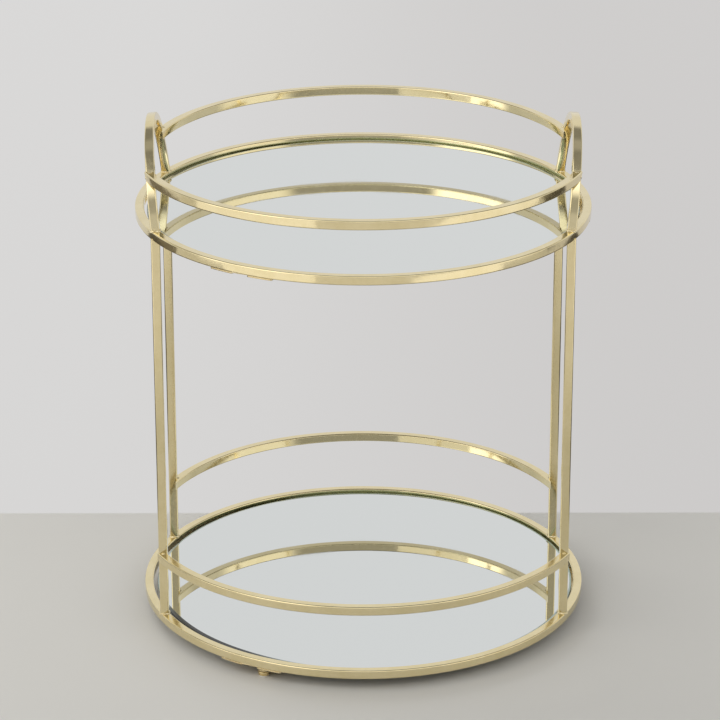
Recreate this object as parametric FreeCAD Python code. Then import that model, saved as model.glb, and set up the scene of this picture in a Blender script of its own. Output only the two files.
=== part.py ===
import FreeCAD, Part
import math
import os

# Two-tier round serving stand with mirrored trays and arched carrying handles.
# Millimetres, +Z up. Origin on the floor, midway between the two handles.
# The handles are on the -X and +X sides and the front is towards -Y.

# Square bar with eased arrises that the whole frame is made from
BAR = 8.0
BAR_ARRIS = 0.8

# Tray rings
RING_RADIUS = 202.5
LOWER_RING_TOP = 20.0
UPPER_RING_TOP = 385.0

# Legs and handles stand on the middle of the ring's bar
LEG_ANGLE = 25.0

# Handles, each one arched bar that leans outwards
HANDLE_ARCH_RADIUS = 84.4
HANDLE_RISE = 73.7
HANDLE_LEAN = 5.5

# Guard rails
RAIL_APEX = 196.0
UPPER_RAIL_RISE = 47.5
LOWER_RAIL_RISE = 60.0
RAIL_OVERRUN = 14.0

# Mirrors
MIRROR_RADIUS = 192.0
GLASS_THICKNESS = 3.0
BACKING_THICKNESS = 0.2
BACKING_INSET = 0.6
GLASS_ARRIS = 0.5
UPPER_MIRROR_DROP = 4.4
LOWER_MIRROR_DROP = 3.0
LOWER_MIRROR_SHIFT = 1.1

# Support brackets under each ring
BRACKET_ANGLES = (0.0, 120.0, 240.0)
UPPER_BRACKET_TURN = -1.2
BRACKET_THICKNESS = 1.4
BRACKET_INNER_RADIUS = 176.0
BRACKET_OUTER_RADIUS = 202.1
BRACKET_HALF_ANGLE = 8.85
BRACKET_NOTCH = 14.0
BRACKET_CORNER = 2.0

# Soft pads between bracket and mirror
PAD_RADIUS = 4.5
PAD_CIRCLE = 184.0
PAD_HALF_ANGLE = 5.6

# Levelling feet, each a little to one side of its bracket's middle
FOOT_CIRCLE = 191.0
FOOT_OFFSET_ANGLE = 2.6
BOSS_RADIUS = 5.5
BOSS_HEIGHT = 5.0
THREAD_RADIUS = 2.5
THREAD_PLAY = 0.05
STUD_TOP = 10.1
FOOT_RADIUS = 5.25
FOOT_TOP = 4.9
FOOT_EDGE = 0.8
SOLE_RADIUS = 4.5
SOLE_HEIGHT = 1.0

# Weld beads
BEAD_RADIUS = 2.1
SEAM_RADIUS = 1.3

# Sizes that follow from the ones above
HALF_BAR = BAR / 2
RING_MID = RING_RADIUS - HALF_BAR
LEG_X = RING_MID * math.cos(math.radians(LEG_ANGLE))
LEG_Y = RING_MID * math.sin(math.radians(LEG_ANGLE))
LEG_BOTTOM = LOWER_RING_TOP
LEG_TOP = UPPER_RING_TOP - BAR
ARCH_CENTRE = HANDLE_RISE - HANDLE_ARCH_RADIUS

X_AXIS = FreeCAD.Vector(1, 0, 0)
Y_AXIS = FreeCAD.Vector(0, 1, 0)
Z_AXIS = FreeCAD.Vector(0, 0, 1)
ORIGIN = FreeCAD.Vector(0, 0, 0)
BIG = 600.0


def save(shape, node):
    """Write one sub-part to its STEP file."""
    if not shape.isValid() or shape.Volume <= 0:
        raise ValueError(node + " is not a valid solid")
    shape.exportStep("parts/" + node + ".step")
    print(node, "solids", len(shape.Solids), "volume", round(shape.Volume, 1))


def polar(radius, angle, z):
    """Point at a radius and an angle in degrees from +X."""
    turn = math.radians(angle)
    return FreeCAD.Vector(radius * math.cos(turn), radius * math.sin(turn), z)


def biggest(shape):
    """The largest solid of a shape, so that trimmed-off ends are dropped."""
    return max(shape.Solids, key=lambda solid: solid.Volume)


def bar_section(centre, across, up):
    """Face of the square bar with eased corners, centred on a point."""
    flat = HALF_BAR - BAR_ARRIS
    corners = []
    for quarter in range(4):
        turn = math.radians(90 * quarter)
        side = across * math.cos(turn) + up * math.sin(turn)
        next_side = up * math.cos(turn) - across * math.sin(turn)
        corners.append(centre + side * HALF_BAR - next_side * flat)
        corners.append(centre + side * HALF_BAR + next_side * flat)
    corners.append(corners[0])
    return Part.Face(Part.makePolygon(corners))


def tray_ring(top):
    """Closed ring of square bar."""
    section = bar_section(FreeCAD.Vector(RING_MID, 0, top - HALF_BAR), X_AXIS, Z_AXIS)
    return section.revolve(ORIGIN, Z_AXIS, 360)


def leg(x, y):
    """Straight leg between the lower ring's top and the upper ring's underside."""
    section = bar_section(FreeCAD.Vector(x, y, LEG_BOTTOM), X_AXIS, Y_AXIS)
    return section.extrude(Z_AXIS * (LEG_TOP - LEG_BOTTOM))


def lean_placement(side):
    """Placement of a handle's own upright frame, side is -1 or +1."""
    base = FreeCAD.Vector(side * LEG_X, 0, UPPER_RING_TOP)
    return FreeCAD.Placement(base, FreeCAD.Rotation(Y_AXIS, side * HANDLE_LEAN))


def handle(side):
    """Arched handle bar, cut level where it meets the upper ring."""
    centre = FreeCAD.Vector(0, 0, ARCH_CENTRE)
    start = FreeCAD.Vector(0, HANDLE_ARCH_RADIUS, ARCH_CENTRE)
    arch = bar_section(start, X_AXIS, Y_AXIS).revolve(centre, X_AXIS, 180)
    arch.Placement = lean_placement(side)
    below = Part.makeBox(BIG, BIG, BIG, FreeCAD.Vector(-BIG / 2, -BIG / 2, UPPER_RING_TOP - BIG))
    return biggest(arch.cut(below))


def handle_outline(side):
    """Solid disc that fills a handle's arch out to its outer face."""
    disc = Part.makeCylinder(HANDLE_ARCH_RADIUS + HALF_BAR, 6 * BAR,
                             FreeCAD.Vector(-3 * BAR, 0, ARCH_CENTRE), X_AXIS)
    disc.Placement = lean_placement(side)
    return disc


def beside_handle(side):
    """Block that covers everything outside a handle's inner side face."""
    corner = -HALF_BAR if side > 0 else HALF_BAR - BIG
    block = Part.makeBox(BIG, BIG, BIG, FreeCAD.Vector(corner, -BIG / 2, -BIG / 2))
    block.Placement = lean_placement(side)
    return block


def rail_arc(end_x, end_y, top):
    """Arched rail through two mirrored end points and its own apex.

    The ends run on past the given points and are trimmed later.
    """
    drop = RAIL_APEX - abs(end_y)
    radius = (end_x ** 2 + drop ** 2) / (2 * drop)
    centre = FreeCAD.Vector(0, RAIL_APEX - radius, 0)
    half = math.degrees(math.atan2(end_x, radius - drop) + RAIL_OVERRUN / radius)
    middle = centre + FreeCAD.Vector(0, radius, top - HALF_BAR)
    section = bar_section(middle, Y_AXIS, Z_AXIS)
    section.rotate(centre, Z_AXIS, -half)
    rail = section.revolve(centre, Z_AXIS, 2 * half)
    if end_y < 0:
        rail.rotate(ORIGIN, Z_AXIS, 180)
    return rail


def handle_point(rail_top):
    """Half width X and arch Y of a handle's bar at the middle of a rail."""
    height = rail_top - HALF_BAR - UPPER_RING_TOP
    along = height / math.cos(math.radians(HANDLE_LEAN))
    spread = LEG_X + height * math.tan(math.radians(HANDLE_LEAN))
    arch = math.sqrt(HANDLE_ARCH_RADIUS ** 2 - (along - ARCH_CENTRE) ** 2)
    return spread, arch


def upper_rail_front():
    """Front rail that butts on the outer faces of both handles."""
    top = UPPER_RING_TOP + UPPER_RAIL_RISE
    spread, arch = handle_point(top)
    rail = rail_arc(spread, -arch - HALF_BAR, top)
    return biggest(rail.cut([handle_outline(-1), handle_outline(1)]))


def upper_rail_back():
    """Back rail that fits between the inner side faces of both handles."""
    top = UPPER_RING_TOP + UPPER_RAIL_RISE
    spread, arch = handle_point(top)
    rail = rail_arc(spread - HALF_BAR, arch, top)
    return biggest(rail.cut([beside_handle(-1), beside_handle(1)]))


def lower_rail_front():
    """Front rail that butts on the front faces of the front legs."""
    face = -LEG_Y - HALF_BAR
    rail = rail_arc(LEG_X, face, LOWER_RING_TOP + LOWER_RAIL_RISE)
    ahead = Part.makeBox(BIG, BIG, BIG, FreeCAD.Vector(-BIG / 2, face - BIG, -BIG / 2))
    return biggest(rail.common(ahead))


def lower_rail_back():
    """Back rail that fits between the inner side faces of the back legs."""
    inside = LEG_X - HALF_BAR
    rail = rail_arc(inside, LEG_Y, LOWER_RING_TOP + LOWER_RAIL_RISE)
    between = Part.makeBox(2 * inside, BIG, BIG, FreeCAD.Vector(-inside, 0, -BIG / 2))
    return biggest(rail.common(between))


def mirror_glass(centre):
    """Float-glass disc with its arrises ground off, centre is the middle of its top."""
    disc = Part.makeCylinder(MIRROR_RADIUS, GLASS_THICKNESS, centre - Z_AXIS * GLASS_THICKNESS)
    return disc.makeChamfer(GLASS_ARRIS, disc.Edges[0:1] + disc.Edges[2:3])


def mirror_backing(centre):
    """Silvering and its protective paint, on the underside of the glass."""
    base = centre - Z_AXIS * (GLASS_THICKNESS + BACKING_THICKNESS)
    return Part.makeCylinder(MIRROR_RADIUS - BACKING_INSET, BACKING_THICKNESS, base)


def bracket(angle, top):
    """Flat plate with two ears under the ring and a notch between them."""
    base = top - BRACKET_THICKNESS
    sweep = 2 * BRACKET_HALF_ANGLE
    outer = Part.makeCylinder(BRACKET_OUTER_RADIUS, BRACKET_THICKNESS, Z_AXIS * base, Z_AXIS, sweep)
    inner = Part.makeCylinder(BRACKET_INNER_RADIUS, BAR, Z_AXIS * (base - 1))
    plate = outer.cut(inner)
    plate.rotate(ORIGIN, Z_AXIS, -BRACKET_HALF_ANGLE)
    notch_start = FreeCAD.Vector(RING_RADIUS - BAR, -BRACKET_NOTCH / 2, base - 1)
    plate = plate.cut(Part.makeBox(2 * BAR, BRACKET_NOTCH, BAR, notch_start))
    upright = []
    for edge in plate.Edges:
        ends = [vertex.Point for vertex in edge.Vertexes]
        if len(ends) == 2 and abs(ends[0].x - ends[1].x) + abs(ends[0].y - ends[1].y) < 0.001:
            if abs(ends[0].y) > BRACKET_NOTCH / 2 - 0.01:
                upright.append(edge)
    plate = plate.makeFillet(BRACKET_CORNER, upright)
    plate.rotate(ORIGIN, Z_AXIS, angle)
    return biggest(plate)


def glass_pads(angles, bottom, top):
    """Soft discs, two on each bracket, that the mirror rests on."""
    pads = []
    for angle in angles:
        for offset in (-PAD_HALF_ANGLE, PAD_HALF_ANGLE):
            place = polar(PAD_CIRCLE, angle + offset, bottom)
            pads.append(Part.makeCylinder(PAD_RADIUS, top - bottom, place))
    return Part.makeCompound(pads)


def foot_place(angle, z):
    """Point on the axis of the foot that belongs to a bracket."""
    return polar(FOOT_CIRCLE, angle + FOOT_OFFSET_ANGLE, z)


def foot_boss(angle):
    """Threaded boss welded under a lower bracket."""
    top = LOWER_RING_TOP - BAR - BRACKET_THICKNESS
    place = foot_place(angle, top - BOSS_HEIGHT)
    body = Part.makeCylinder(BOSS_RADIUS, BOSS_HEIGHT, place)
    return body.cut(Part.makeCylinder(THREAD_RADIUS, BOSS_HEIGHT, place))


def glide_foot(angle):
    """Screw foot: round base with a threaded stud."""
    base = Part.makeCylinder(FOOT_RADIUS, FOOT_TOP - SOLE_HEIGHT, foot_place(angle, SOLE_HEIGHT))
    base = base.makeFillet(FOOT_EDGE, base.Edges[0:1] + base.Edges[2:3])
    stud_radius = THREAD_RADIUS - THREAD_PLAY
    stud = Part.makeCylinder(stud_radius, STUD_TOP - FOOT_TOP, foot_place(angle, FOOT_TOP))
    return base.fuse(stud).removeSplitter().Solids[0]


def glide_sole(angle):
    """White nylon sole under a screw foot."""
    return Part.makeCylinder(SOLE_RADIUS, SOLE_HEIGHT, foot_place(angle, 0))


def weld_beads(points, radius, neighbours):
    """Round weld beads at the given points, trimmed clear of the bars they join."""
    beads = []
    for point in points:
        bead = Part.makeSphere(radius, point)
        beads.append(biggest(bead.cut(neighbours)))
    return Part.makeCompound(beads)


def corner_points(z):
    """Points at the inner and outer faces of the four upright bars at one height."""
    points = []
    for side in (-1, 1):
        for end in (-1, 1):
            y = end * LEG_Y
            points.append(FreeCAD.Vector(side * (LEG_X - HALF_BAR), y, z))
            points.append(FreeCAD.Vector(side * LEG_X, y - HALF_BAR, z))
    return points


def rail_end_points(front_x, front_y, back_x, back_y, top):
    """Points on the top of each rail where it meets the frame."""
    points = []
    for side in (-1, 1):
        points.append(FreeCAD.Vector(side * front_x, front_y, top))
        points.append(FreeCAD.Vector(side * back_x, back_y, top))
    return points


def ring_seam_point(angle, top):
    """Point under a ring's outer edge, in a bracket's notch, where the ring is closed."""
    return polar(RING_RADIUS - SEAM_RADIUS, angle, top - BAR)


def save_tray(tier, angles, under_ring, glass_centre):
    """Write one tier's mirror, pads and brackets; glass_centre is the middle of the mirror's top."""
    save(mirror_glass(glass_centre), tier + "_mirror_glass")
    save(mirror_backing(glass_centre), tier + "_mirror_backing")
    pad_top = glass_centre.z - GLASS_THICKNESS - BACKING_THICKNESS
    save(glass_pads(angles, under_ring, pad_top), tier + "_mirror_pads")
    for number, angle in enumerate(angles, 1):
        save(bracket(angle, under_ring), tier + "_bracket_" + str(number))


def save_welds(rings, legs, handles, rails):
    """Write the groups of weld beads that hold the frame together."""
    beads = weld_beads(corner_points(UPPER_RING_TOP), BEAD_RADIUS, [rings["upper"]] + handles)
    save(beads, "handle_base_welds")
    beads = weld_beads(corner_points(LOWER_RING_TOP), BEAD_RADIUS, [rings["lower"]] + legs)
    save(beads, "leg_base_welds")

    top = UPPER_RING_TOP + UPPER_RAIL_RISE
    spread, arch = handle_point(top)
    points = rail_end_points(spread, -arch - HALF_BAR, spread - HALF_BAR, arch, top)
    joined = handles + [rails["upper_rail_front"], rails["upper_rail_back"]]
    save(weld_beads(points, BEAD_RADIUS, joined), "upper_rail_welds")

    top = LOWER_RING_TOP + LOWER_RAIL_RISE
    points = rail_end_points(LEG_X, -LEG_Y - HALF_BAR, LEG_X - HALF_BAR, LEG_Y, top)
    joined = legs + [rails["lower_rail_front"], rails["lower_rail_back"]]
    save(weld_beads(points, BEAD_RADIUS, joined), "lower_rail_welds")

    points = [ring_seam_point(BRACKET_ANGLES[2], LOWER_RING_TOP)]
    points.append(ring_seam_point(BRACKET_ANGLES[2] + UPPER_BRACKET_TURN, UPPER_RING_TOP))
    save(weld_beads(points, SEAM_RADIUS, list(rings.values())), "ring_seam_welds")


def main():
    os.makedirs("parts", exist_ok=True)

    rings = {}
    for tier, top in (("lower", LOWER_RING_TOP), ("upper", UPPER_RING_TOP)):
        rings[tier] = tray_ring(top)
        save(rings[tier], tier + "_tray_ring")

    legs = []
    for end, y in (("front", -LEG_Y), ("back", LEG_Y)):
        for side, x in (("left", -LEG_X), ("right", LEG_X)):
            upright = leg(x, y)
            legs.append(upright)
            save(upright, "leg_" + end + "_" + side)

    handles = [handle(-1), handle(1)]
    save(handles[0], "handle_left")
    save(handles[1], "handle_right")

    rails = {
        "upper_rail_front": upper_rail_front(),
        "upper_rail_back": upper_rail_back(),
        "lower_rail_front": lower_rail_front(),
        "lower_rail_back": lower_rail_back(),
    }
    for node, rail in rails.items():
        save(rail, node)

    lower_centre = FreeCAD.Vector(LOWER_MIRROR_SHIFT, 0, LOWER_RING_TOP - LOWER_MIRROR_DROP)
    upper_centre = Z_AXIS * (UPPER_RING_TOP - UPPER_MIRROR_DROP)
    save_tray("lower", BRACKET_ANGLES, LOWER_RING_TOP - BAR, lower_centre)
    upper_angles = [angle + UPPER_BRACKET_TURN for angle in BRACKET_ANGLES]
    save_tray("upper", upper_angles, UPPER_RING_TOP - BAR, upper_centre)

    for number, angle in enumerate(BRACKET_ANGLES, 1):
        save(foot_boss(angle), "foot_boss_" + str(number))
        save(glide_foot(angle), "glide_foot_" + str(number))
        save(glide_sole(angle), "glide_sole_" + str(number))

    save_welds(rings, legs, handles, rails)


main()
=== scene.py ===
"""Looks of a round two-tier bar stand: pale gold square bar, two mirrored trays, short screw feet."""

import math

import bmesh
import bpy
from mathutils import Matrix, Vector, noise


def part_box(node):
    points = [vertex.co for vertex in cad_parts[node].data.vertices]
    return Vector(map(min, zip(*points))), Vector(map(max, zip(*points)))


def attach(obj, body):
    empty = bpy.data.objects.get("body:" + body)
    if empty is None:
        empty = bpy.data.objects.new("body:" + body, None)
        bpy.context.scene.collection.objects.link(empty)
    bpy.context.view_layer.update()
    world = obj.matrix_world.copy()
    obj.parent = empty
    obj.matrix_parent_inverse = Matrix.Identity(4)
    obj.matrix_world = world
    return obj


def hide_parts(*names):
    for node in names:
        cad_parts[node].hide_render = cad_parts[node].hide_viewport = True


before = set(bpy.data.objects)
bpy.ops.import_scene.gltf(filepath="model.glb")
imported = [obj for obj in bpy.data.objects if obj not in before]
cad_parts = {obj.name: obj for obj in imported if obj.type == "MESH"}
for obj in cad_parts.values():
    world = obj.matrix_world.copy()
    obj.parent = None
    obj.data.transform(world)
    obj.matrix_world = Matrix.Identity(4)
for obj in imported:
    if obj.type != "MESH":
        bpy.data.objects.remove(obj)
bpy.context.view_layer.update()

MM = 0.001
X, Y, Z = Vector((1, 0, 0)), Vector((0, 1, 0)), Vector((0, 0, 1))

# ---------------------------------------------------------------- sizes taken from the frame
ring_low, ring_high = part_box("lower_tray_ring")
upper_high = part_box("upper_tray_ring")[1]
leg_low, leg_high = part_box("leg_back_right")
glass_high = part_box("lower_mirror_glass")[1]
BAR = ring_high.z - ring_low.z
HALF_BAR = BAR / 2
RING_RADIUS = ring_high.y
RING_MID = RING_RADIUS - HALF_BAR
LOWER_TOP = ring_high.z
UPPER_TOP = upper_high.z
LEG_X = (leg_low.x + leg_high.x) / 2
LEG_Y = (leg_low.y + leg_high.y) / 2
GLASS_RADIUS = glass_high.y
RING_TOPS = {"lower": LOWER_TOP, "upper": UPPER_TOP}

# ---------------------------------------------------------------- sizes of the bar work
ARRIS = 1.2 * MM
HANDLE_RADIUS = 84.4 * MM
HANDLE_CENTRE_DROP = 10.7 * MM
HANDLE_LEAN = math.radians(5.5)
RAIL_APEX = 196 * MM
RAIL_RISE = {"lower": 60 * MM, "upper": 47.5 * MM}
RAIL_OVERRUN = 14 * MM
SUNK = 1 * MM
RING_STEPS = 240
ARC_STEPS = 96
SOFT_EDGE_ANGLE = math.radians(32)

# ---------------------------------------------------------------- sizes of the trays
BRACKET_ANGLES = {"lower": (0, 120, 240), "upper": (-1.2, 118.8, 238.8)}
BRACKET_EDGE = 0.3 * MM
PAD_RADIUS = 4.5 * MM
PAD_CIRCLE = 184 * MM
PAD_HALF_ANGLE = 5.6
GLASS_LAND = 2.2 * MM
GLASS_DIP = 0.16 * MM
GLASS_EDGE = 0.55 * MM
BACKING_EDGE = 0.1 * MM
# strength per tier of the painted shade on the mirror edge at the front left
GAP_SHADE = {"lower": 1.0, "upper": 0.3}

# ---------------------------------------------------------------- sizes of the feet
BORE_RADIUS = 2.5 * MM
BOSS_EDGE = 0.35 * MM
BOSS_WELD = (0.9 * MM, 0.25 * MM)
STUD_RADIUS = 2.4 * MM
THREAD_PITCH = 0.8 * MM
THREAD_DEPTH = 0.4 * MM
FOOT_SHOULDER = 3.9 * MM
FOOT_EDGE = 0.8 * MM
GROOVE_HEIGHT = 1.95 * MM
GROOVE_SIZE = 0.25 * MM
SOLE_EDGE = 0.3 * MM

# ---------------------------------------------------------------- sizes of the welds
COLLAR_SIZE = 0.9 * MM
COLLAR_STEPS = 48
SEAM_BEADS = 9
SEAM_STEP = 0.45

# ---------------------------------------------------------------- sizes and tones of the stage
TABLE_HALF = 20
TABLE_END = 180 * MM
CARD_HEIGHT = 4 * MM
CAMERA_PLACE = (-5.77 * MM, -2718.7 * MM, 1290.4 * MM)
CAMERA_DOWN = 21.269
CAMERA_TURN = -0.058
CAMERA_ROLL = -0.043

# Brightness of the room from the horizon at the front (0) over the top to the horizon at the back (1)
ROOM_BANDS = (
    (0.0, 0.6), (0.075, 0.6), (0.1, 0.42), (0.18, 0.42), (0.22, 1.2), (0.27, 1.7), (0.33, 1.7), (0.37, 0.3),
    (0.5, 0.25), (0.54, 0.4), (0.59, 0.4), (0.63, 0.25), (0.72, 0.25), (0.76, 0.8), (1.0, 0.8),
)


# ---------------------------------------------------------------- shader helpers
class Value:
    """An output socket with arithmetic, so that patterns read as expressions."""

    def __init__(self, finish, socket):
        self.finish = finish
        self.socket = socket

    def _math(self, operation, first, second):
        return self.finish.add("ShaderNodeMath", {"operation": operation}, {0: first, 1: second})

    def __add__(self, other):
        return self._math("ADD", self, other)

    def __mul__(self, other):
        return self._math("MULTIPLY", self, other)

    __rmul__ = __mul__

    def __sub__(self, other):
        return self._math("SUBTRACT", self, other)

    def __rsub__(self, other):
        return self._math("SUBTRACT", other, self)

    def __pow__(self, other):
        return self._math("POWER", self, other)


class Finish:
    """One surface finish: a material with its Principled shader and short ways to add nodes."""

    def __init__(self, name, world=False):
        if world:
            self.owner = bpy.data.worlds.new(name)
        else:
            self.owner = bpy.data.materials.new(name)
        self.owner.use_nodes = True
        self.tree = self.owner.node_tree
        self.shader = self.tree.nodes.get("Principled BSDF") or self.tree.nodes["Background"]

    def add(self, kind, settings=None, inputs=None, output=0):
        """Adds a node: its settings first, then the values or links of its sockets."""
        node = self.tree.nodes.new(kind)
        for name, value in (settings or {}).items():
            setattr(node, name, value)
        for key, value in (inputs or {}).items():
            self.put(node.inputs[key], value)
        return Value(self, node.outputs[output])

    def put(self, socket, value):
        """Links a value to a socket, or writes a constant in it."""
        if isinstance(value, Value):
            self.tree.links.new(value.socket, socket)
        else:
            socket.default_value = value

    def set(self, **sockets):
        """Sets sockets of the shader: Base_Color=... stands for its Base Color."""
        for name, value in sockets.items():
            self.put(self.shader.inputs[name.replace("_", " ")], value)

    def place(self, scale=(1, 1, 1)):
        """Position on the object in metres, stretched by scale."""
        here = self.add("ShaderNodeTexCoord", output="Object")
        return self.add("ShaderNodeMapping", {}, {"Vector": here, "Scale": scale})

    def noise(self, size, detail, stretch=(1, 1, 1)):
        """Soft noise from 0 to 1 with features of about the given size in metres."""
        inputs = {"Vector": self.place(stretch), "Scale": 1 / size, "Detail": detail}
        return self.add("ShaderNodeTexNoise", {}, inputs)

    def ramp(self, value, low, high, start=0.0, end=1.0):
        """Smooth step of a value between two limits."""
        inputs = {"Value": value, "From Min": low, "From Max": high, "To Min": start, "To Max": end}
        return self.add("ShaderNodeMapRange", {"interpolation_type": "SMOOTHSTEP"}, inputs)

    def mix(self, factor, first, second):
        """Mix of two colours."""
        inputs = {0: factor, 6: first, 7: second}
        return self.add("ShaderNodeMix", {"data_type": "RGBA"}, inputs, 2)

    def blend(self, value, stops):
        """Grey blend of a value from 0 to 1 through (position, brightness) stops."""
        ramp = self.add("ShaderNodeValToRGB", {}, {"Fac": value})
        elements = ramp.socket.node.color_ramp.elements
        while len(elements) < len(stops):
            elements.new(1.0)
        for element, (position, level) in zip(elements, stops):
            element.position = position
            element.color = rgb(level, level, level)
        return ramp

    def part_of(self, vector, axis):
        """One of the three parts of a vector: X, Y or Z."""
        return self.add("ShaderNodeSeparateXYZ", {}, {"Vector": vector}, axis)

    def bump(self, height, depth):
        """Bumps the surface by a height from 0 to 1 times a depth in metres."""
        inputs = {"Height": height, "Distance": depth, "Strength": 1.0}
        self.set(Normal=self.add("ShaderNodeBump", {}, inputs))


def rgb(red, green, blue):
    """Opaque colour."""
    return (red, green, blue, 1.0)


BLACK = rgb(0, 0, 0)


# ---------------------------------------------------------------- finishes
def plated_gold(name, pale, deep, rough, ripple):
    """Pale gold plating: slight drifts of tone, faint polishing marks and a soft ripple."""
    finish = Finish(name)
    drift = finish.noise(22 * MM, 3)
    cloud = finish.noise(3.5 * MM, 4)
    tone = finish.ramp(drift * 0.65 + cloud * 0.35, 0.33, 0.67)
    finish.set(Base_Color=finish.mix(tone, deep, pale), Metallic=1.0)
    speck = finish.noise(0.45 * MM, 2)
    marks = finish.ramp(speck, 0.45, 0.75, 0.0, 0.05)
    finish.set(Roughness=finish.ramp(cloud, 0.3, 0.7, rough - 0.03, rough + 0.03) + marks)
    finish.bump(finish.noise(5 * MM, 2) * 0.95 + speck * 0.05, ripple)
    return finish.owner


def weld_gold():
    """Plated weld metal: paler, rougher and lumpy."""
    finish = Finish("weld_gold")
    lumps = finish.noise(0.9 * MM, 4)
    raised = finish.ramp(lumps, 0.35, 0.6)
    finish.set(Base_Color=finish.mix(raised, rgb(0.66, 0.54, 0.3), rgb(0.9, 0.8, 0.54)))
    finish.set(Metallic=1.0, Roughness=finish.ramp(lumps, 0.3, 0.7, 0.4, 0.2))
    finish.bump(lumps, 0.12 * MM)
    return finish.owner


def mirror_glass(tier):
    """Silvered glass: cool reflection, faint wipe marks, and a green edge from grinding.

    The edge carries painted light, palest at the back right, and painted shade, darkest at the front left,
    where it stands in for the shade of the opening between glass and ring.
    """
    finish = Finish(tier + "_mirror_glass")
    low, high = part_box(tier + "_mirror_glass")
    here = finish.place()
    east = finish.part_of(here, "X") - (low.x + high.x) / 2
    north = finish.part_of(here, "Y")
    radius = (east * east + north * north) ** 0.5
    front_left = east * -0.74 + north * -0.67
    back_right = east * 0.6 + north * 0.8
    # painted shade: towards the front left the edge band is widened and then darkened to near black, standing
    # in for the shade of the opening between glass and ring
    painted_gap_shade = finish.ramp(front_left, 0.82 * GLASS_RADIUS, 0.97 * GLASS_RADIUS) * GAP_SHADE[tier]
    land_start = GLASS_RADIUS - GLASS_LAND
    edge = finish.ramp(radius + painted_gap_shade * GLASS_LAND, land_start - 0.1 * MM, land_start + 0.3 * MM)
    rim = finish.ramp(radius, GLASS_RADIUS - 0.75 * MM, GLASS_RADIUS - 0.45 * MM)
    # painted light: the edge colour turns paler towards the back right
    painted_edge_light = finish.ramp(back_right, 0.35 * GLASS_RADIUS, 0.85 * GLASS_RADIUS)
    silver = rgb(0.77, 0.795, 0.79)
    # edge colour from grinding; the painted light and painted shade are mixed into it on the next lines
    ground_edge_and_painted_light = finish.mix(rim, rgb(0.42, 0.5, 0.45), rgb(0.19, 0.25, 0.21))
    ground_edge_and_painted_light = finish.mix(painted_edge_light, ground_edge_and_painted_light, rgb(0.4, 0.53, 0.45))
    # painted shade: near-black edge at the front left
    ground_edge_and_painted_light = finish.mix(painted_gap_shade, ground_edge_and_painted_light, rgb(0.02, 0.022, 0.02))
    finish.set(Base_Color=finish.mix(edge, silver, ground_edge_and_painted_light))
    wipes = finish.noise(45 * MM, 3, (1, 2.6, 1))
    dust = finish.noise(0.5 * MM, 1)
    haze = finish.ramp(wipes, 0.45, 0.75, 0.012, 0.05) + finish.ramp(dust, 0.72, 0.8, 0.0, 0.04)
    finish.set(Roughness=haze + edge * 0.16, Metallic=1.0 - 0.75 * edge)
    finish.set(IOR=1.52, Coat_Weight=0.15, Coat_Roughness=0.02)
    return finish.owner


def backing_paint():
    """Matte grey paint over the silvering, slightly mottled."""
    finish = Finish("backing_paint")
    mottle = finish.noise(6 * MM, 4)
    finish.set(Base_Color=finish.mix(mottle, rgb(0.1, 0.115, 0.115), rgb(0.17, 0.185, 0.18)))
    finish.set(Roughness=finish.ramp(mottle, 0.3, 0.7, 0.5, 0.7))
    finish.bump(finish.noise(1 * MM, 2), 0.03 * MM)
    return finish.owner


def soft_pad():
    """Cloudy clear bumper."""
    finish = Finish("soft_pad")
    cloud = finish.noise(2 * MM, 2)
    finish.set(Base_Color=finish.mix(cloud, rgb(0.62, 0.64, 0.62), rgb(0.76, 0.77, 0.75)))
    finish.set(Roughness=finish.ramp(cloud, 0.3, 0.7, 0.25, 0.4), IOR=1.45)
    return finish.owner


def nylon():
    """White nylon, scuffed where it slides."""
    finish = Finish("white_nylon")
    scuffs = finish.noise(0.8 * MM, 3, (1, 3, 1))
    finish.set(Base_Color=finish.mix(scuffs, rgb(0.72, 0.7, 0.65), rgb(0.88, 0.87, 0.84)))
    finish.set(Roughness=finish.ramp(scuffs, 0.3, 0.7, 0.4, 0.6))
    return finish.owner


BAR_GOLD = plated_gold("bar_gold", rgb(0.86, 0.745, 0.46), rgb(0.8, 0.685, 0.4), 0.085, 0.006 * MM)
PLATE_GOLD = plated_gold("plate_gold", rgb(0.78, 0.65, 0.39), rgb(0.7, 0.57, 0.32), 0.26, 0.02 * MM)
FOOT_GOLD = plated_gold("foot_gold", rgb(0.82, 0.67, 0.37), rgb(0.74, 0.59, 0.3), 0.2, 0.01 * MM)
WELD_GOLD = weld_gold()
MIRRORS = {tier: mirror_glass(tier) for tier in RING_TOPS}
BACKING = backing_paint()
PAD = soft_pad()
NYLON = nylon()


# ---------------------------------------------------------------- modelling helpers
def all_of(bm):
    """Everything in a mesh, as the geometry of an operator."""
    return bm.verts[:] + bm.edges[:] + bm.faces[:]


def mesh_object(bm, name, finish):
    """Object in the scene made from a mesh, with one finish."""
    mesh = bpy.data.meshes.new(name)
    bm.to_mesh(mesh)
    bm.free()
    mesh.materials.append(finish)
    made = bpy.data.objects.new(name, mesh)
    bpy.context.scene.collection.objects.link(made)
    return made


def finish_piece(bm, name, finish, body, nodes):
    """Closes and smooths a shape, and makes it a piece that stands for the given CAD nodes."""
    bmesh.ops.remove_doubles(bm, verts=bm.verts[:], dist=0.002 * MM)
    bmesh.ops.recalc_face_normals(bm, faces=bm.faces[:])
    for edge in bm.edges:
        edge.smooth = edge.is_manifold and edge.calc_face_angle() < SOFT_EDGE_ANGLE
    for face in bm.faces:
        face.smooth = True
    piece = mesh_object(bm, name, finish)
    even = piece.modifiers.new("even_shading", "WEIGHTED_NORMAL")
    even.keep_sharp = True
    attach(piece, body)
    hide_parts(*nodes)


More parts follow.
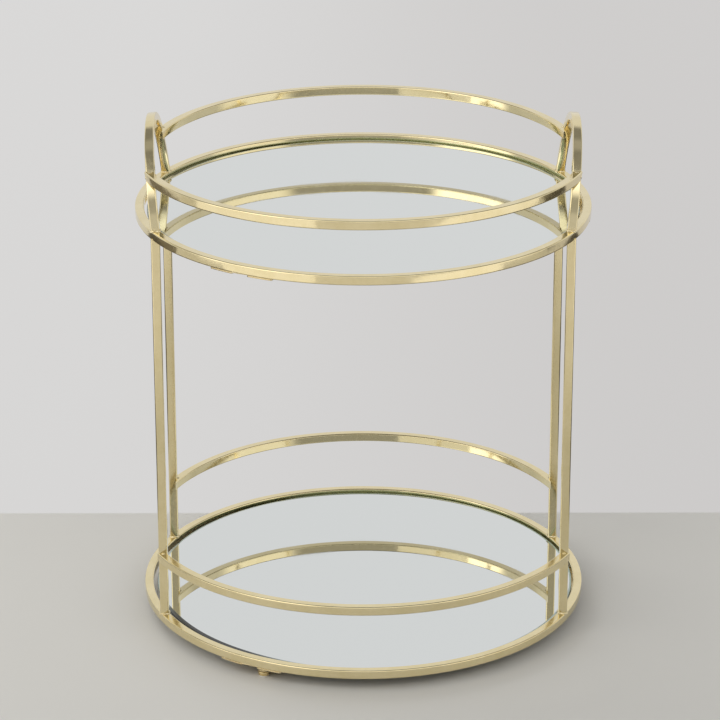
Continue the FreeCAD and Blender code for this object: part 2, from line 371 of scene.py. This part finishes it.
def bar_outline(bm, centre, across, up):
    """The bar's outline as a loop of edges: a square with rounded arrises."""
    square = bmesh.ops.create_grid(bm, x_segments=1, y_segments=1, size=HALF_BAR)["verts"]
    bmesh.ops.bevel(bm, geom=square, offset=ARRIS, segments=6, profile=0.5, affect="VERTICES", material=-1)
    bmesh.ops.delete(bm, geom=bm.faces[:], context="FACES_ONLY")
    turn = Matrix((across, up, across.cross(up))).transposed().to_4x4()
    bmesh.ops.transform(bm, matrix=Matrix.Translation(centre) @ turn, verts=bm.verts[:])


def cut_off(bm, point, outward):
    """Cuts away what lies beyond a plane."""
    bmesh.ops.bisect_plane(bm, geom=all_of(bm), dist=1e-7, plane_co=point, plane_no=outward, clear_outer=True)


def close_ends(bm):
    """Fills the open ends of a bar."""
    bmesh.ops.holes_fill(bm, edges=[edge for edge in bm.edges if edge.is_boundary], sides=0)


def lathe(bm, outline, centre, steps):
    """Turns a list of (radius, height) points about a vertical axis."""
    corners = [bm.verts.new((centre.x + radius, centre.y, centre.z + height)) for radius, height in outline]
    edges = [bm.edges.new(pair) for pair in zip(corners, corners[1:])]
    bmesh.ops.spin(bm, geom=corners + edges, cent=centre, axis=Z, angle=math.tau, steps=steps,
                   use_merge=True, use_duplicate=False)


def quarter_round(centre_radius, centre_height, size, first, last, steps=5):
    """Points of a round edge in a lathe outline, between two angles in degrees."""
    points = []
    for step in range(steps + 1):
        turn = math.radians(first + (last - first) * step / steps)
        points.append((centre_radius + size * math.cos(turn), centre_height + size * math.sin(turn)))
    return points


# ---------------------------------------------------------------- bar work
def tray_ring(tier):
    """Closed ring of bar."""
    bm = bmesh.new()
    centre = Vector((RING_MID, 0, RING_TOPS[tier] - HALF_BAR))
    bar_outline(bm, centre, X, Z)
    bmesh.ops.spin(bm, geom=all_of(bm), cent=(0, 0, 0), axis=Z, angle=math.tau, steps=RING_STEPS,
                   use_merge=True, use_duplicate=False)
    node = tier + "_tray_ring"
    finish_piece(bm, node + "_bar", BAR_GOLD, "frame", [node])


def leg(end, side):
    """Upright bar between the two rings."""
    node = "leg_" + end + "_" + side
    low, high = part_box(node)
    bm = bmesh.new()
    middle = (low + high) / 2
    bar_outline(bm, Vector((middle.x, middle.y, low.z - SUNK)), X, Y)
    made = bmesh.ops.extrude_edge_only(bm, edges=bm.edges[:])["geom"]
    moved = [item for item in made if isinstance(item, bmesh.types.BMVert)]
    bmesh.ops.translate(bm, verts=moved, vec=Z * (high.z - low.z + 2 * SUNK))
    close_ends(bm)
    finish_piece(bm, node + "_bar", BAR_GOLD, "frame", [node])


def handle_frame(side):
    """Placement of a handle's own upright frame; side is -1 or 1."""
    lean = Matrix.Rotation(side * HANDLE_LEAN, 4, "Y")
    return Matrix.Translation((side * LEG_X, 0, UPPER_TOP)) @ lean


def handle(side, word):
    """Arched handle, cut level where it stands on the upper ring."""
    bm = bmesh.new()
    bar_outline(bm, Vector((0, HANDLE_RADIUS, -HANDLE_CENTRE_DROP)), X, Y)
    bmesh.ops.spin(bm, geom=all_of(bm), cent=(0, 0, -HANDLE_CENTRE_DROP), axis=X, angle=math.pi,
                   steps=ARC_STEPS, use_duplicate=False)
    bmesh.ops.transform(bm, matrix=handle_frame(side), verts=bm.verts[:])
    cut_off(bm, (0, 0, UPPER_TOP - SUNK), -Z)
    close_ends(bm)
    node = "handle_" + word
    finish_piece(bm, node + "_bar", BAR_GOLD, "frame", [node])


def handle_point(height):
    """Half width X and arch Y of a handle's bar at a height above the upper ring."""
    along = height / math.cos(HANDLE_LEAN)
    spread = LEG_X + height * math.tan(HANDLE_LEAN)
    arch = math.sqrt(HANDLE_RADIUS ** 2 - (along + HANDLE_CENTRE_DROP) ** 2)
    return spread, arch


def rail(node, end_x, end_y, top, cuts):
    """Arched guard rail through two mirrored end points and its apex, trimmed by planes."""
    sign = 1 if end_y > 0 else -1
    drop = RAIL_APEX - abs(end_y)
    radius = (end_x ** 2 + drop ** 2) / (2 * drop)
    centre = Vector((0, sign * (RAIL_APEX - radius), top - HALF_BAR))
    half = math.atan2(end_x, radius - drop) + RAIL_OVERRUN / radius
    bm = bmesh.new()
    bar_outline(bm, centre + Y * sign * radius, Y, Z)
    bmesh.ops.rotate(bm, cent=centre, matrix=Matrix.Rotation(-half, 3, "Z"), verts=bm.verts[:])
    bmesh.ops.spin(bm, geom=all_of(bm), cent=centre, axis=Z, angle=2 * half, steps=ARC_STEPS,
                   use_duplicate=False)
    for point, outward in cuts:
        cut_off(bm, point, outward)
    close_ends(bm)
    finish_piece(bm, node + "_bar", BAR_GOLD, "frame", [node])


def upper_rails():
    """Front rail on the outside of the handles, back rail between their inner faces."""
    top = UPPER_TOP + RAIL_RISE["upper"]
    height = RAIL_RISE["upper"] - HALF_BAR
    spread, arch = handle_point(height)
    rise = (height / math.cos(HANDLE_LEAN) + HANDLE_CENTRE_DROP) / HANDLE_RADIUS
    facing = Vector((0, math.sqrt(1 - rise ** 2), -rise))
    face = Vector((0, -arch, top - HALF_BAR)) - facing * (HALF_BAR - SUNK)
    rail("upper_rail_front", spread, -arch - HALF_BAR, top, [(face, facing)])
    cuts = []
    for side in (-1, 1):
        outward = (X * side) @ Matrix.Rotation(-side * HANDLE_LEAN, 3, "Y")
        cuts.append((X * side * (spread - HALF_BAR + SUNK) + Z * (top - HALF_BAR), outward))
    rail("upper_rail_back", spread - HALF_BAR, arch, top, cuts)


def lower_rails():
    """Front rail on the front faces of the legs, back rail between their inner faces."""
    top = LOWER_TOP + RAIL_RISE["lower"]
    face = LEG_Y + HALF_BAR
    rail("lower_rail_front", LEG_X, -face, top, [(-Y * (face - SUNK), Y)])
    inside = LEG_X - HALF_BAR
    cuts = [(X * side * (inside + SUNK), X * side) for side in (-1, 1)]
    rail("lower_rail_back", inside, LEG_Y, top, cuts)


# ---------------------------------------------------------------- welds
def bead(bm, place, size, flat=(1, 1, 1)):
    """Lump of weld metal at a point, made uneven by noise."""
    made = bmesh.ops.create_icosphere(bm, subdivisions=3, radius=size)["verts"]
    for vert in made:
        vert.co *= 1 + 0.22 * noise.noise(vert.co / size * 1.3 + place * 300)
    bmesh.ops.scale(bm, vec=flat, verts=made)
    bmesh.ops.translate(bm, vec=place, verts=made)


def collar(bm, place, reach, height):
    """Uneven fillet of weld metal round the foot of an upright bar."""
    rows = []
    slope = ((-0.3 * MM, reach), (0.25 * MM, reach * 0.85), (height * 0.45, reach * 0.35),
             (height, 0.0), (height, -1 * MM))
    for level, out in slope:
        row = []
        for step in range(COLLAR_STEPS):
            turn = math.tau * step / COLLAR_STEPS
            way = Vector((math.cos(turn), math.sin(turn), 0))
            flat = (HALF_BAR + 0.05 * MM) / max(abs(way.x), abs(way.y))
            corner = min(flat, (HALF_BAR - ARRIS) * math.sqrt(2) + ARRIS)
            uneven = 1 + 0.5 * noise.noise(way * 2.2 + place * 300 + Z * level * 400)
            point = way * (corner + out * uneven) + place + Z * level * (0.8 + 0.2 * uneven)
            row.append(bm.verts.new(point))
        rows.append(row)
    for lower, higher in zip(rows, rows[1:]):
        for step in range(COLLAR_STEPS):
            after = (step + 1) % COLLAR_STEPS
            bm.faces.new((lower[step], lower[after], higher[after], higher[step]))
    bm.faces.new(reversed(rows[0]))
    bm.faces.new(rows[-1])


def upright_places(z):
    """Middles of the four uprights at one height, with the side and end they are on."""
    for side in (-1, 1):
        for end in (-1, 1):
            yield Vector((side * LEG_X, end * LEG_Y, z)), side, end


def base_welds(node, z):
    """Fillets and tacks where uprights stand on a ring."""
    bm = bmesh.new()
    for place, side, end in upright_places(z):
        collar(bm, place, COLLAR_SIZE, COLLAR_SIZE)
        bead(bm, place + Vector((-side * HALF_BAR, 0, 0.1 * MM)), 1.5 * MM, (0.8, 1.5, 0.8))
        bead(bm, place + Vector((side * 0.3 * HALF_BAR, -HALF_BAR, 0.1 * MM)), 1.4 * MM, (1.5, 0.8, 0.75))
        bead(bm, place + Vector((-side * 0.4 * HALF_BAR, HALF_BAR, 0.1 * MM)), 1.3 * MM, (1.4, 0.8, 0.7))
    finish_piece(bm, node + "_metal", WELD_GOLD, "frame", [node])


def rail_welds(node, front, back, z, lean):
    """Beads where rails meet the uprights: on top, below and on the outer side."""
    bm = bmesh.new()
    for side in (-1, 1):
        for point in (front, back):
            for level, size in ((HALF_BAR, 1.5), (-HALF_BAR, 1.3)):
                place = Vector((side * (point.x + lean * level), point.y, z + level * 0.96))
                bead(bm, place, size * MM, (1.3, 1.1, 0.6))
        outer = Vector((side * (front.x + HALF_BAR * 0.9), front.y - 0.2 * MM, z))
        bead(bm, outer, 1.5 * MM, (0.6, 0.9, 1.7))
        inner = Vector((side * (back.x - 0.2 * MM), back.y + HALF_BAR * 0.6, z))
        bead(bm, inner, 1.4 * MM, (0.7, 0.9, 1.7))
    finish_piece(bm, node + "_metal", WELD_GOLD, "frame", [node])


def seam_welds():
    """Ground bead along the outer lower edge where each ring is closed."""
    bm = bmesh.new()
    for tier, top in RING_TOPS.items():
        for step in range(SEAM_BEADS):
            turn = math.radians(BRACKET_ANGLES[tier][2] - 1.9 + SEAM_STEP * step)
            out = Vector((math.cos(turn), math.sin(turn), 0))
            size = (1.0 - 0.06 * step) * MM
            bead(bm, out * (RING_RADIUS - 0.7 * MM) + Z * (top - BAR + 0.3 * MM), size, (1, 1, 0.7))
    finish_piece(bm, "ring_seam_welds_metal", WELD_GOLD, "frame", ["ring_seam_welds"])


# ---------------------------------------------------------------- trays
def mirror(tier):
    """Glass disc with a bevel from grinding and a rounded edge, and its painted back."""
    node = tier + "_mirror_glass"
    low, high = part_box(node)
    radius, top, bottom = high.y, high.z, low.z
    middle = Vector(((low.x + high.x) / 2, 0, 0))
    turned = radius - GLASS_EDGE
    outline = [(0, bottom)]
    outline += quarter_round(turned, bottom + GLASS_EDGE, GLASS_EDGE, -90, 0)
    outline += quarter_round(turned, top - GLASS_DIP - GLASS_EDGE, GLASS_EDGE, 0, 90)
    outline += [(radius - GLASS_LAND, top), (0, top)]
    bm = bmesh.new()
    lathe(bm, outline, middle, RING_STEPS)
    finish_piece(bm, node + "_disc", MIRRORS[tier], "frame", [node])

    node = tier + "_mirror_backing"
    low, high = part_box(node)
    radius, top, bottom = high.y, high.z, low.z
    outline = [(0, top), (radius, top), (radius, bottom + BACKING_EDGE), (radius - BACKING_EDGE, bottom)]
    bm = bmesh.new()
    lathe(bm, outline + [(0, bottom)], middle, RING_STEPS)
    finish_piece(bm, node + "_layer", BACKING, "frame", [node])


def pads(tier):
    """Six soft bumpers between the brackets and the mirror."""
    node = tier + "_mirror_pads"
    low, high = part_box(node)
    tall = high.z - low.z
    soft = min(0.6 * MM, tall / 2)
    outline = [(0, 0), (PAD_RADIUS - soft / 3, 0), (PAD_RADIUS, soft / 3)]
    outline += quarter_round(PAD_RADIUS - soft, tall - soft, soft, 0, 90)
    outline.append((0, tall))
    bm = bmesh.new()
    for angle in BRACKET_ANGLES[tier]:
        for offset in (-PAD_HALF_ANGLE, PAD_HALF_ANGLE):
            turn = math.radians(angle + offset)
            place = Vector((PAD_CIRCLE * math.cos(turn), PAD_CIRCLE * math.sin(turn), low.z))
            lathe(bm, outline, place, 40)
    finish_piece(bm, node + "_bumpers", PAD, "frame", [node])


def bracket(node):
    """Copy of a CAD bracket with its sharp edges rounded."""
    bm = bmesh.new()
    bm.from_mesh(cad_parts[node].data)
    bmesh.ops.remove_doubles(bm, verts=bm.verts[:], dist=0.005 * MM)
    bmesh.ops.dissolve_limit(bm, angle_limit=math.radians(1), verts=bm.verts[:], edges=bm.edges[:])
    sharp = [edge for edge in bm.edges if edge.is_manifold and edge.calc_face_angle() > math.radians(40)]
    bmesh.ops.bevel(bm, geom=sharp, offset=BRACKET_EDGE, segments=3, profile=0.5, affect="EDGES",
                    material=-1)
    finish_piece(bm, node + "_plate", PLATE_GOLD, "frame", [node])


def foot(number):
    """Threaded boss, and the screw foot with its nylon sole that turns in it."""
    word = str(number)
    low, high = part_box("foot_boss_" + word)
    centre = Vector(((low.x + high.x) / 2, (low.y + high.y) / 2, 0))
    outer = (high.x - low.x) / 2
    weld_height, weld_size = BOSS_WELD
    outline = [(BORE_RADIUS, low.z + BOSS_EDGE), (BORE_RADIUS + BOSS_EDGE, low.z)]
    outline += quarter_round(outer - BOSS_EDGE, low.z + BOSS_EDGE, BOSS_EDGE, -90, 0)
    outline += [(outer, high.z - weld_height), (outer + 0.35 * MM, high.z - weld_size)]
    outline += [(outer + 0.3 * MM, high.z), (BORE_RADIUS, high.z), (BORE_RADIUS, low.z + BOSS_EDGE)]
    bm = bmesh.new()
    lathe(bm, outline, centre, 64)
    finish_piece(bm, "foot_boss_" + word + "_collar", PLATE_GOLD, "frame",
                 ["foot_boss_" + word])

    low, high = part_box("glide_foot_" + word)
    body = "foot_" + word
    outer = (high.x - low.x) / 2
    shoulder = low.z + FOOT_SHOULDER
    groove = low.z + GROOVE_HEIGHT
    root = STUD_RADIUS - THREAD_DEPTH
    outline = [(0, low.z)]
    outline += quarter_round(outer - FOOT_EDGE, low.z + FOOT_EDGE, FOOT_EDGE, -90, 0)
    outline += [(outer, groove - GROOVE_SIZE), (outer - GROOVE_SIZE, groove), (outer, groove + GROOVE_SIZE)]
    outline += quarter_round(outer - FOOT_EDGE, shoulder - FOOT_EDGE, FOOT_EDGE, 0, 90)
    thread = shoulder
    while thread + THREAD_PITCH < high.z:
        outline += [(root, thread), (STUD_RADIUS, thread + THREAD_PITCH / 2)]
        thread += THREAD_PITCH
    outline += [(root, high.z), (0, high.z)]
    bm = bmesh.new()
    lathe(bm, outline, centre, 64)
    finish_piece(bm, "glide_foot_" + word + "_screw", FOOT_GOLD, body, ["glide_foot_" + word])

    sole_low, sole_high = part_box("glide_sole_" + word)
    outer = (sole_high.x - sole_low.x) / 2
    tall = sole_high.z - sole_low.z
    outline = [(0, 0), *quarter_round(outer - SOLE_EDGE, SOLE_EDGE, SOLE_EDGE, -90, 0)]
    outline += [(outer, tall), (0, tall)]
    bm = bmesh.new()
    lathe(bm, outline, centre, 48)
    finish_piece(bm, "glide_sole_" + word + "_disc", NYLON, body, ["glide_sole_" + word])


# ---------------------------------------------------------------- the stand
for tier in RING_TOPS:
    tray_ring(tier)
    mirror(tier)
    pads(tier)
    for number in (1, 2, 3):
        bracket(tier + "_bracket_" + str(number))
for end in ("front", "back"):
    for side in ("left", "right"):
        leg(end, side)
handle(-1, "left")
handle(1, "right")
upper_rails()
lower_rails()
base_welds("leg_base_welds", LOWER_TOP)
base_welds("handle_base_welds", UPPER_TOP)
spread, arch = handle_point(RAIL_RISE["upper"] - HALF_BAR)
rail_welds("upper_rail_welds", Vector((spread, -arch - HALF_BAR)), Vector((spread - HALF_BAR, arch)),
           UPPER_TOP + RAIL_RISE["upper"] - HALF_BAR, math.tan(HANDLE_LEAN))
rail_welds("lower_rail_welds", Vector((LEG_X, -LEG_Y - HALF_BAR)), Vector((LEG_X - HALF_BAR, LEG_Y)),
           LOWER_TOP + RAIL_RISE["lower"] - HALF_BAR, 0)
seam_welds()
for number in (1, 2, 3):
    foot(number)


# ---------------------------------------------------------------- stage
def table_top():
    """Large pale surface that turns into a lighter one behind the stand, glowing as painted light that is
    brighter on the left; far in front of the stand, out of view, it is painted lighter, as painted light for
    the polished metal to reflect.
    """
    finish = Finish("table_paint_and_painted_light")
    here = finish.place()
    behind = finish.ramp(finish.part_of(here, "Y"), TABLE_END, TABLE_END + 3 * MM)
    # painted light: behind the stand the table glows instead of being lit, brighter on the left than on the
    # right
    across = finish.ramp(finish.part_of(here, "X"), -0.35, 0.35)
    glow = finish.mix(across, rgb(0.645, 0.638, 0.632), rgb(0.575, 0.563, 0.556))
    # painted light: far in front of the stand, out of view, the table is painted lighter so that the polished
    # metal reflects a brighter floor; paint holds the table's tone with this painted light
    painted_light_ahead = finish.ramp(finish.part_of(here, "Y"), -0.5, -0.9)
    paint = finish.mix(painted_light_ahead, rgb(0.66, 0.65, 0.617), rgb(0.84, 0.82, 0.78))
    finish.set(Base_Color=finish.mix(behind, paint, BLACK))
    # painted light: the glow behind the stand
    finish.set(Emission_Color=finish.mix(behind, BLACK, glow), Emission_Strength=1.0)
    finish.set(Roughness=0.6, Specular_IOR_Level=0.3)
    bm = bmesh.new()
    bmesh.ops.create_grid(bm, x_segments=1, y_segments=1, size=TABLE_HALF)
    sheet = mesh_object(bm, "table_top", finish.owner)


def lobe(room, way, middle, inner, outer):
    """1 inside a cone about a direction, 0 outside a wider one; angles in degrees."""
    inputs = {0: way, 1: Vector(middle).normalized()}
    facing = room.add("ShaderNodeVectorMath", {"operation": "DOT_PRODUCT"}, inputs, "Value")
    return room.ramp(facing, math.cos(math.radians(outer)), math.cos(math.radians(inner)))


def studio():
    """Pale room: bands from the viewer's horizon over the top to the back wall, and soft boxes."""
    room = Finish("room", world=True)
    way = room.add("ShaderNodeTexCoord", output="Generated")
    height = room.part_of(way, "Z")
    back = room.part_of(way, "Y")
    turn = room.add("ShaderNodeMath", {"operation": "ARCTAN2"}, {0: height, 1: back * -1.0})
    colour = room.blend(turn * (1 / math.pi), ROOM_BANDS)
    side = room.part_of(way, "X")
    colour = room.mix(room.ramp(side * side, 0.45, 0.8), colour, rgb(0.7, 0.7, 0.7))
    for hand, glow in ((-1, 2.1), (1, 1.2)):
        box = lobe(room, way, (hand * 0.84, -0.4, 0.36), 16, 26)
        colour = room.mix(box, colour, rgb(glow, 0.985 * glow, 0.96 * glow))
    overhead = lobe(room, way, (-0.5, -0.3, 0.81), 10, 20)
    colour = room.mix(overhead, colour, rgb(1.9, 1.87, 1.82))
    room.set(Color=colour, Strength=1.0)
    bpy.context.scene.world = room.owner


def key_light():
    """Large soft light above and behind the stand, to the left."""
    light = bpy.data.lights.new("soft_key", "AREA")
    light.shape = "RECTANGLE"
    light.size = 1.3
    light.size_y = 1.0
    light.energy = 13
    light.color = (1.0, 0.985, 0.96)
    key = bpy.data.objects.new("soft_key", light)
    key.location = (-1.15, 1.35, 2.1)
    key.visible_glossy = False
    key.rotation_euler = (Z * 0.2 - key.location).to_track_quat("-Z", "Y").to_euler()
    bpy.context.scene.collection.objects.link(key)


def reflection_card(name, corners, finish):
    """Flat card that is seen only in the polished metal."""
    bm = bmesh.new()
    bm.faces.new([bm.verts.new(corner) for corner in corners])
    card = mesh_object(bm, name, finish)
    card.visible_camera = False
    card.visible_diffuse = False
    card.visible_shadow = False


def floor_card(name, side, near_in, far_out, finish):
    """Card lying on the table to one side, between a near inner corner and a far outer one."""
    (x1, y1), (x2, y2) = near_in, far_out
    corners = [(side * x, y, CARD_HEIGHT) for x, y in ((x1, y1), (x2, y1), (x2, y2), (x1, y2))]
    if side < 0:
        corners.reverse()
    reflection_card(name, corners, finish)


def card_cloth(name, dark, pale):
    """Matt cloth for the cards."""
    cloth = Finish(name)
    weave = cloth.noise(8 * MM, 1)
    cloth.set(Base_Color=cloth.mix(weave, dark, pale), Roughness=0.9)
    return cloth.owner


def card_glow(name, strength):
    """Evenly glowing warm white card."""
    glow = Finish(name)
    glow.set(Base_Color=BLACK, Emission_Color=rgb(1.0, 0.98, 0.95), Emission_Strength=strength)
    return glow.owner


def standing_card(name, start, end, tall, finish):
    """Upright card between two points of the table."""
    corners = [(*start, 0), (*end, 0), (*end, tall), (*start, tall)]
    reflection_card(name, corners, finish)


def reflection_cards():
    """Dark cards beside the stand, bright ones in front of them and farther out."""
    dark = card_cloth("card_dark", rgb(0.05, 0.042, 0.03), rgb(0.08, 0.07, 0.055))
    grey = card_cloth("card_grey", rgb(0.28, 0.26, 0.22), rgb(0.34, 0.32, 0.28))
    brown = card_cloth("card_brown", rgb(0.15, 0.13, 0.1), rgb(0.2, 0.18, 0.15))
    bright = card_glow("card_bright", 0.98)
    for side, word in ((-1, "left"), (1, "right")):
        floor_card("dark_card_" + word, side, (0.42, -0.45), (1.08, 0.72), dark)
        floor_card("bright_card_" + word, side, (0.45, -1.15), (1.15, -0.45), bright)
    floor_card("patch_card_right", 1, (1.22, 0.15), (1.42, 0.6), dark)
    floor_card("grey_card_right", 1, (1.42, 0.1), (1.7, 0.8), grey)
    floor_card("brown_card_left", -1, (1.08, 0.2), (1.35, 1.0), brown)
    standing_card("tall_card_left", (-0.46, -1.16), (-1.16, -0.46), 0.8, bright)
    standing_card("far_card_left", (-1.16, -0.46), (-1.3, -0.1), 0.5, bright)
    standing_card("far_card_right", (1.0, -0.95), (1.4, 0.05), 0.5, bright)


def camera():
    """Long lens, looking down at the stand from the front."""
    lens = bpy.data.cameras.new("front_view")
    lens.lens = 161.1
    lens.sensor_width = 36
    lens.clip_end = 100
    view = bpy.data.objects.new("front_view", lens)
    place = Matrix.Translation(CAMERA_PLACE)
    yaw = Matrix.Rotation(math.radians(CAMERA_TURN), 4, "Z")
    pitch = Matrix.Rotation(math.radians(90 - CAMERA_DOWN), 4, "X")
    roll = Matrix.Rotation(math.radians(CAMERA_ROLL), 4, "Z")
    view.matrix_world = place @ yaw @ pitch @ roll
    bpy.context.scene.collection.objects.link(view)
    bpy.context.scene.camera = view


table_top()
studio()
key_light()
reflection_cards()
camera()
bpy.context.scene.view_settings.view_transform = "Standard"
